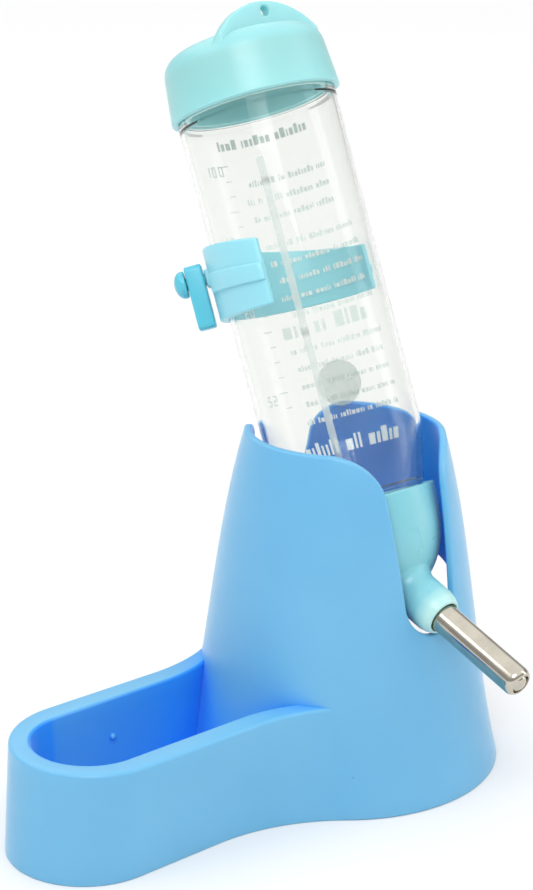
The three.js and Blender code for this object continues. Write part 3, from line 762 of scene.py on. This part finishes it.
def trough():
    """Feed trough with a hollow double rim, open underneath, closed inside the tower wall."""
    edge, lip, fillet, foot = 0.9, 0.8, 2.4, 0.35
    inner, outer, roof = pocket_outline, outer_outline, TROUGH_HEIGHT - TROUGH_WALL
    quarter = [math.pi / 2 * k / 5 for k in range(6)]
    turns = [(1 - math.sin(turn), 1 - math.cos(turn)) for turn in quarter]
    side = np.linspace(TROUGH_FLOOR + fillet, TROUGH_HEIGHT - lip, 9)[1:-1]
    skirt = np.linspace(TROUGH_HEIGHT - edge, foot, 11)[1:-1]
    levels = [
        *((inner, -fillet * a, TROUGH_FLOOR + fillet * b) for a, b in turns),
        *((inner, 0, height) for height in side),
        *((inner, lip * b, TROUGH_HEIGHT - lip * a) for a, b in turns),
        *((outer, -edge * a, TROUGH_HEIGHT - edge * b) for a, b in turns),
        *((outer, 0, height) for height in skirt),
        *((outer, -foot * b, foot * a) for a, b in turns),
        *((outer, -TROUGH_WALL, height) for height in np.linspace(0, roof, 9)),
        *((inner, TROUGH_WALL, height) for height in np.linspace(roof, 0, 9)),
    ]
    rows = [trough_ring(outline(height), margin, height) for outline, margin, height in levels]
    columns = len(rows[0])
    vertices = [point for row in rows for point in row]
    faces = grid_faces(len(rows), columns)
    for ring in (rows[0], rows[-1]):
        rungs = floor_rungs(ring)
        start = len(vertices)
        vertices += [point for rung in rungs for point in rung]
        faces += grid_faces(len(rungs), len(rungs[0]), start=start)
    return finish_mesh("trough", vertices, faces, stand_frame, fill_holes=True)


GATE_PLACE = (-63.9, 13.7, 17.7)
GATE_RADIUS = 0.85


def gate_mark():
    """Small round moulding gate on the far wall inside the trough."""
    place = stand_frame @ Matrix.Translation(GATE_PLACE)
    profile = arc((0, 0), GATE_RADIUS, -math.pi / 2, math.pi / 2, 16)
    return turned_piece("gate_mark", profile, place, 24, closed=False)


stand = united(tower(), trough(), gate_mark())
stand.name = "stand_shell"
piece(stand, STAND_BLUE, "stand", "stand_blue", "stand")

# ---- bottle ----


def bottle_profile():
    outer = [
        (NECK_RADIUS, NECK_END), (NECK_RADIUS, NECK_TOP), (NECK_RADIUS + 0.8, NECK_TOP + 0.3),
        (SHOULDER_RADIUS, SHOULDER), (BODY_FOOT_RADIUS, BODY_FOOT),
        (BODY_TOP_RADIUS, BODY_TOP), (MOUTH_RADIUS, BODY_TOP), (MOUTH_RADIUS, MOUTH_TOP),
    ]
    inner = [
        (MOUTH_RADIUS, MOUTH_TOP), (MOUTH_RADIUS, BODY_TOP - 1), (BODY_TOP_RADIUS, BODY_TOP - 2),
        (BODY_FOOT_RADIUS, BODY_FOOT), (SHOULDER_RADIUS - 0.2, SHOULDER),
        (NECK_RADIUS, NECK_TOP), (NECK_RADIUS, NECK_END),
    ]
    inner = [(radius - BOTTLE_WALL, height) for radius, height in inner]
    radii = [0.4, 0.4, 1.5, 12, 8, 0.25, 0.25, 0.5, 0.5, 1, 1, 8, 12, 3, 0.4]
    return rounded(outer + inner, radii, steps=6)


bottle = turned_piece("bottle_shell", bottle_profile(), bottle_frame, 144)
piece(bottle, CLEAR, "bottle", "clear_plastic", "bottle_tube")

PRINT_MIDDLE = math.radians(49)  # the print is centred at the back of the bottle
PRINT_HALF = 21.0  # half length of a row along the wall
PRINT_LIFT = 0.02
PRINT_THICKNESS = 0.03
PRINT_RADIUS = 20.2  # turns a distance along the wall into an angle
SCALE_SIDE = 12.0  # where the scale stands, along the wall
ROW_PITCH = 4.7
TICK_PITCH = 4.05
TICK_WIDTH = 0.3
FILM_ANGLE = math.radians(-138)
FILM_HALF = 0.9
DISC_ANGLE = math.radians(41)
DISC_HEIGHT = 11.3
DISC_RADIUS = 6.0


def bottle_radius(height):
    """Outer radius of the body, and of its shoulder below the foot."""
    above_foot = height - BODY_FOOT
    slope = (BODY_TOP_RADIUS - BODY_FOOT_RADIUS) / (BODY_TOP - BODY_FOOT)
    return BODY_FOOT_RADIUS + slope * above_foot + 0.2 * np.minimum(above_foot, 0)


def on_bottle(points, lift):
    """Wraps points given as (distance along the wall, height) onto the bottle's outside."""
    points = np.asarray(points, float)
    radius = bottle_radius(points[:, 1]) + lift
    angle = PRINT_MIDDLE + points[:, 0] / PRINT_RADIUS
    return np.column_stack((radius * np.cos(angle), radius * np.sin(angle), points[:, 1]))


class Ink:
    """Collects thin curved patches laid on the bottle's wall."""

    def __init__(self):
        self.vertices, self.faces = [], []

    def patch(self, left, right, low, high):
        steps = max(1, int((right - left) / 1.2))
        across = np.linspace(0, 1, steps + 1)
        bottom = [(left + (right - left) * t, low) for t in across]
        top = [(x, z + high - low) for x, z in bottom]
        face = PRINT_LIFT + PRINT_THICKNESS
        rows = [on_bottle(bottom, PRINT_LIFT), on_bottle(top, PRINT_LIFT),
                on_bottle(top, face), on_bottle(bottom, face)]
        start, count = len(self.vertices), steps + 1
        self.vertices += [p for row in rows for p in row]
        self.faces += grid_faces(4, count, wrap_rows=True, start=start)
        for column in (0, steps):
            self.faces.append([start + k * count + column for k in range(4)])

    def greeked_row(self, chance, low, height, left, right, bold=1.0):
        """A line of strokes that stands for small print without saying anything."""
        x = left
        while x < right - 1.5:
            for _ in range(chance.randint(2, 8)):
                width = bold * chance.choice((0.32, 0.5, 0.75, 0.95))
                if x + width > right:
                    break
                tall = height * chance.choice((0.72, 0.72, 1.0))
                self.patch(x, x + width, low, low + tall)
                x += width + bold * 0.3
            x += bold * 0.8

    def numeral(self, digits, x, low, height):
        """Plain seven-stroke numerals for the scale. They read with the nozzle up."""
        width, stroke = 0.56 * height, 0.16 * height
        top, middle = low + height, low + (height - stroke) / 2
        bars = {
            "a": (0, width, top - stroke, top), "b": (width - stroke, width, middle, top),
            "c": (width - stroke, width, low, middle + stroke), "d": (0, width, low, low + stroke),
            "e": (0, stroke, low, middle + stroke), "f": (0, stroke, middle, top),
            "g": (0, width, middle, middle + stroke),
        }
        drawn = {"0": "abcdef", "1": "bc", "2": "abged", "5": "afgcd", "7": "abc"}
        for digit in digits:
            for key in drawn[digit]:
                left, right, under, over = bars[key]
                self.patch(x - right, x - left, 2 * low + height - over, 2 * low + height - under)
            x -= width + 0.35 * height


def print_on_bottle():
    """Scale with plain numbers and rows of greeked small print."""
    chance = random.Random(11)
    ink = Ink()
    ink.greeked_row(chance, -6.8, 4.4, -17, 12, bold=2.0)
    for row in range(11):
        low = 2.5 + ROW_PITCH * row
        if 24 < low < 30:  # the large row stands here
            continue
        left = -PRINT_HALF + chance.uniform(0, 2)
        right = SCALE_SIDE - 1.5 - chance.uniform(0, 5)
        ink.greeked_row(chance, low, 1.5, left, right)
    ink.greeked_row(chance, 25.5, 4.2, -16, 10, bold=2.6)
    for row in range(3):
        low = 57.0 + ROW_PITCH * row
        ink.greeked_row(chance, low, 1.6, -15, SCALE_SIDE - chance.uniform(2, 5))
    for label, low in (("25", 9.3), ("50", 32.8), ("75", 51.6), ("100", 70.4)):
        ink.numeral(label, SCALE_SIDE + 8.6, low, 2.8)
    for k in range(17):
        low = 8.0 + TICK_PITCH * k
        ink.patch(SCALE_SIDE, SCALE_SIDE + (3.0 if k % 4 == 1 else 1.8), low, low + TICK_WIDTH)
    ink.greeked_row(chance, 77.0, 2.6, -12, 14, bold=1.4)
    return finish_mesh("print", ink.vertices, ink.faces, bottle_frame)


def film_strip():
    """Narrow clear film edge that runs down the front of the bottle."""
    ink = Ink()
    middle = PRINT_RADIUS * (FILM_ANGLE - PRINT_MIDDLE)
    for k in range(38):
        low = -8.0 + 2.0 * k
        ink.patch(middle - FILM_HALF, middle + FILM_HALF, low, low + 2.0)
    return finish_mesh("film_strip", ink.vertices, ink.faces, bottle_frame)


def film_disc():
    """Round clear label on the wall at the back."""
    ink = Ink()
    middle = PRINT_RADIUS * (DISC_ANGLE - PRINT_MIDDLE)
    steps = 40
    for k in range(steps):
        low = -DISC_RADIUS + 2 * DISC_RADIUS * k / steps
        high = low + 2 * DISC_RADIUS / steps
        half = math.sqrt(DISC_RADIUS ** 2 - ((low + high) / 2) ** 2)
        ink.patch(middle - half, middle + half, DISC_HEIGHT + low, DISC_HEIGHT + high)
    return finish_mesh("film_disc", ink.vertices, ink.faces, bottle_frame)


piece(print_on_bottle(), INK, "bottle", "clear_plastic")
piece(film_strip(), FILM, "bottle", "clear_plastic")
piece(film_disc(), FILM, "bottle", "clear_plastic")


def cap_profile():
    plug = MOUTH_RADIUS - BOTTLE_WALL - GAP
    groove = MOUTH_TOP + GAP
    points = [
        (0, CAP_TOP - CAP_ROOF), (plug - PLUG_WALL, CAP_TOP - CAP_ROOF), (plug - PLUG_WALL, CAP_EDGE),
        (plug, CAP_EDGE), (plug, groove), (MOUTH_RADIUS + GAP, groove), (MOUTH_RADIUS + GAP, CAP_EDGE),
        (CAP_EDGE_RADIUS, CAP_EDGE), (CAP_TOP_RADIUS, CAP_TOP), (0, CAP_TOP),
    ]
    radii = [0, 2, 0.35, 0.5, 0.3, 0.3, 0.35, 0.45, CAP_FILLET, 0]
    return rounded(points, radii, closed=False, steps=8)


def tab():
    centre = (0, TAB_TOP - TAB_RADIUS)
    start = math.asin((TAB_ROOT - centre[1]) / TAB_RADIUS)
    outline = resampled(arc(centre, TAB_RADIUS, start, math.pi - start, 60), 0.8, closed=True)
    hole = arc((0, TAB_HOLE_HEIGHT), TAB_HOLE_RADIUS, 2 * math.pi, 0, 24)[:-1]
    upright = Matrix.Rotation(math.pi / 2, 4, "X")
    low = TAB_DISTANCE - TAB_THICKNESS / 2
    place = bottle_frame @ upright
    flat = plate("tab", [outline, hole], low, low + TAB_THICKNESS, TAB_EDGE, place)
    below, above = TAB_ROOT - 4, TAB_TOP + 4
    column = [(0, below), (TAB_LIMIT, below), (TAB_LIMIT, above), (0, above)]
    round_column = turned_piece("tab_limit", column, bottle_frame, 144, closed=False)
    return united(flat, round_column, operation="INTERSECT")


cap_body = turned_piece("cap_shell", cap_profile(), bottle_frame, 144, closed=False)
cap = united(cap_body, tab(), crossing=True)
piece(cap, CAP_AQUA, "cap", "cap_aqua", "top_cap")

# ---- nozzle ----


def dome(inset, steps=24):
    """Curve of the dome from its lowest point to its rim, drawn inwards by the inset."""
    lowest = NOZZLE_DOME[0][1]
    handles = [(r - inset if r else 0, z + inset if z == lowest else z) for r, z in NOZZLE_DOME]
    return bezier(handles, steps)


def nozzle_profile():
    bore = NECK_RADIUS + 0.5
    inner = [p for p in dome(NOZZLE_WALL) if p[1] < NOZZLE_LEDGE - 1]
    ledge = inner[-1][0] - 1.5
    upper = rounded([
        tuple(dome(0)[-1]), (NOZZLE_EDGE_RADIUS, NOZZLE_EDGE), (bore, NOZZLE_EDGE),
        (bore, NOZZLE_LEDGE), (ledge, NOZZLE_LEDGE), tuple(inner[-1]),
    ], [0, 0.5, 0.4, 0.3, 0.3, 0], closed=False)
    return [*dome(0)[:-1], *upper, *inner[::-1][1:]]


OUTLET_BORE = SPOUT_RADIUS - 1.2
BORE_START = 10.0
FILLET_REACH = 3.0
SKIRT_SINK = 0.3  # lets the fillet cut the dome at a clear angle
MOUTH_TAPER = 3.6  # length over which the outlet narrows to its mouth


def dome_depth(points):
    """How far points of the bottle frame lie outside the nozzle's dome, roughly."""
    curve = dome(0, 200)
    away = np.hypot(points[:, 0], points[:, 1])
    gaps = np.hypot(away[:, None] - curve[:, 0], points[:, 2][:, None] - curve[:, 1])
    nearest = curve[np.argmin(gaps, axis=1)]
    reach = np.hypot(nearest[:, 0], nearest[:, 1] - NOZZLE_EDGE)
    own = np.hypot(away, points[:, 2] - NOZZLE_EDGE)
    return np.where(own > reach, 1, -1) * gaps.min(axis=1)


def outlet():
    """Bent outlet with a soft fillet where it leaves the dome, drawn along the outlet axis."""
    to_bottle = np.array(bottle_frame.inverted() @ outlet_frame)
    segments = 72
    angles = np.linspace(0, 2 * math.pi, segments, endpoint=False)

    def ring(radius, level):
        level = np.broadcast_to(level, angles.shape)
        return np.column_stack((radius * np.cos(angles), radius * np.sin(angles), level))

    def root_level(radius):
        """Where each line of the tube leaves the dome."""
        low, high = np.full(segments, 0.0), np.full(segments, OUTLET_LENGTH)
        for _ in range(30):
            middle = (low + high) / 2
            points = ring(radius, middle) @ to_bottle[:3, :3].T + to_bottle[:3, 3]
            outside = dome_depth(points) > 0
            high = np.where(outside, middle, high)
            low = np.where(outside, low, middle)
        return (low + high) / 2

    root = root_level(OUTLET_RADIUS)
    skirt_level = root_level(OUTLET_RADIUS + FILLET_REACH)
    skirt = ring(OUTLET_RADIUS + FILLET_REACH, skirt_level - SKIRT_SINK)
    corner = ring(OUTLET_RADIUS, root)
    taper_start = OUTLET_LENGTH - MOUTH_TAPER
    seat = ring(OUTLET_RADIUS, np.minimum(root + FILLET_REACH, taper_start - 0.1))
    sunk = ring(OUTLET_RADIUS + FILLET_REACH - 0.6, skirt_level - 1.0)
    inner_root = ring(OUTLET_BORE, root_level(OUTLET_BORE) - 1.0)
    rows = [inner_root, sunk]
    for k in range(11):
        t = k / 10
        rows.append(skirt * (1 - t) ** 2 + corner * 2 * t * (1 - t) + seat * t ** 2)
    socket_radius, socket_floor = SPOUT_RADIUS + GAP, OUTLET_LENGTH - OUTLET_SOCKET - GAP
    profile = rounded([
        (OUTLET_RADIUS, taper_start), (OUTLET_RADIUS - 0.4, OUTLET_LENGTH - MOUTH_TAPER / 2),
        (OUTLET_MOUTH_RADIUS + 0.2, OUTLET_LENGTH), (socket_radius, OUTLET_LENGTH),
        (socket_radius, socket_floor), (OUTLET_BORE, socket_floor), (OUTLET_BORE, BORE_START),
    ], [0, 2, 0.5, 0.3, 0.2, 0.2, 0], closed=False, steps=6)
    rows += [ring(r, z) for r, z in profile]
    vertices = [p for row in rows for p in row]
    faces = grid_faces(len(rows), segments, wrap_rows=True, wrap_columns=True)
    return finish_mesh("outlet", vertices, faces, outlet_frame)


nozzle_body = turned_piece("nozzle_shell", nozzle_profile(), bottle_frame, 144, closed=False)
nozzle = united(nozzle_body, outlet(), crossing=True)
piece(nozzle, NOZZLE_AQUA, "nozzle", "nozzle_aqua", "nozzle_cap")


def gasket_profile():
    low, high = NOZZLE_LEDGE + GAP, NECK_END - GAP
    corners = [(GASKET_BORE, low), (NECK_RADIUS, low), (NECK_RADIUS, high), (GASKET_BORE, high)]
    return rounded(corners, 0.4)


gasket = turned_piece("gasket_ring", gasket_profile(), bottle_frame, 96)
piece(gasket, SILICONE, "gasket", "silicone", "nozzle_gasket")


def spout_profile():
    inside_radius = SPOUT_RADIUS - SPOUT_WALL
    start = SPOUT_TIP - SPOUT_LENGTH
    neck = SPOUT_TIP - LIP_ROUND
    taper = [
        (LIP_RADIUS + (SPOUT_RADIUS - LIP_RADIUS) * math.cos(a), neck + LIP_ROUND * math.sin(a))
        for a in np.linspace(0, math.pi / 2, 13)
    ]
    points = [
        (SPOUT_RADIUS, start), *taper, (LIP_RADIUS - 0.1, SPOUT_TIP - SPOUT_WALL),
        (inside_radius, neck - SPOUT_WALL), (inside_radius, start),
    ]
    return rounded(points, [0.15] + [0] * len(taper) + [0, 0.8, 0.15], steps=6)


spout = turned_piece("spout_shell", spout_profile(), outlet_frame, 96)
piece(spout, STEEL, "nozzle", "steel", "spout_tube")
ball_height = SPOUT_TIP + BALL_STANDOUT - BALL_RADIUS
for name, height in (("tip_ball", ball_height), ("rear_ball", ball_height - 2 * BALL_RADIUS - GAP)):
    profile = arc((0, height), BALL_RADIUS, -math.pi / 2, math.pi / 2, 32)
    ball = turned_piece(name + "_polished", profile, outlet_frame, 64, closed=False)
    piece(ball, STEEL, name, "steel", name)

# ---- clip and latch ----


def clip_band():
    """Open ring with sloped edges and a raised rib, swept round the bottle axis."""
    outer = CLIP_BORE + CLIP_WALL
    count = 150
    start, end = CLIP_BACK_END, CLIP_FRONT_END + 2 * math.pi
    angles = np.linspace(start, end, count + 1)
    ends = 0.9 / outer  # rounding at the two ends, as an angle

    rows = []
    for angle in angles:
        share = (1 + math.cos(angle)) / 2
        levels = CLIP_FAR_SIDE * (1 - share) + CLIP_NECK_SIDE * share
        low, high, rib_low, rib_high = map(float, levels)
        off_neck = abs((angle + math.pi) % (2 * math.pi) - math.pi)
        fade = min(1.0, max(0.0, (off_neck - RIB_GAP) / math.radians(3)))
        bump = outer + RIB_HEIGHT * max(fade, 0.02)
        section = rounded([
            (CLIP_BORE, low), (outer, low), (outer, rib_low), (bump, rib_low + 0.25),
            (bump, rib_high - 0.25), (outer, rib_high), (outer, high), (CLIP_BORE, high),
        ], [0.4, 0.6, 0.2, 0.35, 0.35, 0.2, 0.6, 0.4], steps=4)
        shrink = min(1.0, (angle - start) / ends, (end - angle) / ends)
        ease = math.sqrt(max(0.0, 1 - (1 - max(shrink, 0.0)) ** 2))
        middle = np.array(((CLIP_BORE + outer) / 2, (low + high) / 2))
        pull = np.array((0.75 + 0.25 * ease, 1 - 0.03 * (1 - ease)))
        rows.append([(*(middle + (np.array(p) - middle) * pull), angle) for p in section])
    vertices = [(r * math.cos(a), r * math.sin(a), z) for row in rows for r, z, a in row]
    columns = len(rows[0])
    faces = grid_faces(len(rows), columns, wrap_columns=True)
    last = (len(rows) - 1) * columns
    faces += [list(range(columns)), list(range(last, last + columns))]
    return finish_mesh("clip_band", vertices, faces, clip_frame)


def latch_post():
    """Square post that carries the latch, rooted in the clip's outer face."""
    near, far, half = CLIP_BORE + CLIP_WALL - 1.4, CLIP_BORE + CLIP_WALL + 0.9, 2.5
    corners = [(near, -half), (far, -half), (far, half), (near, half)]
    outline = rounded(corners, 2 * POST_EDGE, steps=5)
    low, high = LATCH_LEVEL - POST_REACH, LATCH_LEVEL + POST_REACH
    return plate("post", [outline], low, high, POST_EDGE, clip_frame)


clip = united(clip_band(), latch_post())
clip.name = "clip_shell"
piece(clip, CLIP_AQUA, "clip", "cap_aqua", "clip_ring")


def lever():
    """Latch bar with a pivot hole: local Z is the pivot, local Y runs along the bottle."""
    start, end, half, above, below = 1.2, 5.7, 3.0, 4.1, 12.4
    corners = [(-half, -below), (half, -below), (half, above), (-half, above)]
    outline = rounded(corners, LEVER_CORNER, steps=8)
    hole = arc((0, 0), PIN_RADIUS + GAP, 2 * math.pi, 0, 32)[:-1]
    return plate("latch_bar", [outline, hole], start, end, LEVER_EDGE, latch_frame)


# The bar wears the darker aqua that paints its shade.
piece(lever(), LATCH_AQUA_SHADED, "latch", "latch_aqua", "latch_lever")


def pin_profile():
    """Shank and domed head of the pin, from its inner end outwards."""
    head = [
        (PIN_HEAD_RADIUS * math.cos(a), PIN_HEAD_EDGE + PIN_HEAD_RISE * math.sin(a))
        for a in np.linspace(0, math.pi / 2, 13)
    ]
    shank = rounded([
        (0, PIN_START), (PIN_RADIUS, PIN_START), (PIN_RADIUS, PIN_HEAD_START),
        (PIN_HEAD_RADIUS, PIN_HEAD_START), head[0],
    ], [0, 0.3, 0.1, 0.4, 0], closed=False, steps=4)
    return [*shank, *head[1:-1], (0, PIN_HEAD_EDGE + PIN_HEAD_RISE)]


pin = turned_piece("pin_turned", pin_profile(), latch_frame, 64, closed=False)
# The pin wears the same darker aqua that paints shade.
piece(pin, LATCH_AQUA_SHADED, "clip", "latch_aqua", "latch_pin")

# ---- stage, light and camera ----

FLOOR_HALF = 20.0
FLOOR_NEAR = (0.78, 0.78, 0.78, 1)  # keeps the lamps from burning out the floor
FLOOR_FAR = (0.95, 0.95, 0.95, 1)
SKY = ((0.02, 0.45), (0.3, 0.34), (0.5, 0.6), (0.62, 1.05))  # height and grey level
SKY_STRENGTH = 1.2
# Name, place from the piece's middle, size and power
LAMPS = (
    ("key", (-0.55, -0.5, 0.75), (0.5, 0.5), 4.7),
    ("fill", (0.8, -0.6, 0.35), (0.3, 0.9), 1.8),
    ("side", (-0.62, 0.37, 0.69), (0.5, 0.3), 0.9),
    ("rim", (0.2, 0.9, 0.7), (0.9, 0.5), 1.0),
)


def floor():
    corners = [(x, y, 0) for y in (-FLOOR_HALF, FLOOR_HALF) for x in (-FLOOR_HALF, FLOOR_HALF)]
    mesh = bpy.data.meshes.new("floor")
    mesh.from_pydata(corners, [], [(0, 1, 3, 2)])
    obj = linked("floor", mesh)
    nodes = Nodes("floor")
    nodes.set(Roughness=0.9)
    distance = nodes.vector("LENGTH", nodes.place, output="Value")
    tone = nodes.spread(distance, 0.0, 1.0, 0.3, 1.6)
    nodes.into("Base Color", nodes.mix(tone, FLOOR_NEAR, FLOOR_FAR))
    obj.data.materials.append(nodes.material)
    obj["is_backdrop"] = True


def softbox(name, place, aim, size, power):
    light = bpy.data.lights.new(name, "AREA")
    light.shape = "RECTANGLE"
    light.size, light.size_y = size
    light.energy = power
    obj = linked(name, light)
    obj.location = place
    obj.rotation_euler = (Vector(aim) - Vector(place)).to_track_quat("-Z", "Y").to_euler()


def studio():
    """Bright ceiling over a greyer horizon, with soft lamps round the piece."""
    world = bpy.data.worlds.new("studio")
    bpy.context.scene.world = world
    world.use_nodes = True
    tree = world.node_tree
    background = tree.nodes["Background"]
    place = tree.nodes.new("ShaderNodeTexCoord")
    parts = tree.nodes.new("ShaderNodeSeparateXYZ")
    ramp = tree.nodes.new("ShaderNodeValToRGB")
    tree.links.new(place.outputs["Generated"], parts.inputs[0])
    tree.links.new(parts.outputs["Z"], ramp.inputs[0])
    tree.links.new(ramp.outputs["Color"], background.inputs["Color"])
    for height, _ in SKY[1:-1]:
        ramp.color_ramp.elements.new(height)
    for element, (height, level) in zip(ramp.color_ramp.elements, SKY):
        element.position = height
        element.color = (level, level, level, 1)
    background.inputs["Strength"].default_value = SKY_STRENGTH
    low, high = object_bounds()
    middle = (low + high) / 2
    for name, place, size, power in LAMPS:
        softbox(name, middle + Vector(place), middle, size, power)


CAMERA_AZIMUTH = math.radians(-41.101)
CAMERA_ELEVATION = math.radians(17.272)
CAMERA_ROLL = math.radians(0.306)
CAMERA_DISTANCE = 469.164
CAMERA_TARGET = (-26.062, 0.0, 88.562)  # from the tower axis on the floor
CAMERA_LENS = 78.176


def camera():
    data = bpy.data.cameras.new("camera")
    data.lens = CAMERA_LENS
    data.sensor_width = 36.0
    obj = linked("camera", data)
    a, e = CAMERA_AZIMUTH, CAMERA_ELEVATION
    back = Vector((math.sin(a) * math.cos(e), -math.cos(a) * math.cos(e), math.sin(e)))
    right = Vector((math.cos(a), math.sin(a), 0))
    up = back.cross(right)
    turned_right = right * math.cos(CAMERA_ROLL) + up * math.sin(CAMERA_ROLL)
    turned_up = up * math.cos(CAMERA_ROLL) - right * math.sin(CAMERA_ROLL)
    turn = Matrix((turned_right, turned_up, back)).transposed().to_4x4()
    target = stand_frame @ Vector(CAMERA_TARGET)
    obj.matrix_world = Matrix.Translation(target + back * CAMERA_DISTANCE * MM) @ turn
    bpy.context.scene.camera = obj


floor()
studio()
camera()
bpy.context.scene.view_settings.view_transform = "Standard"
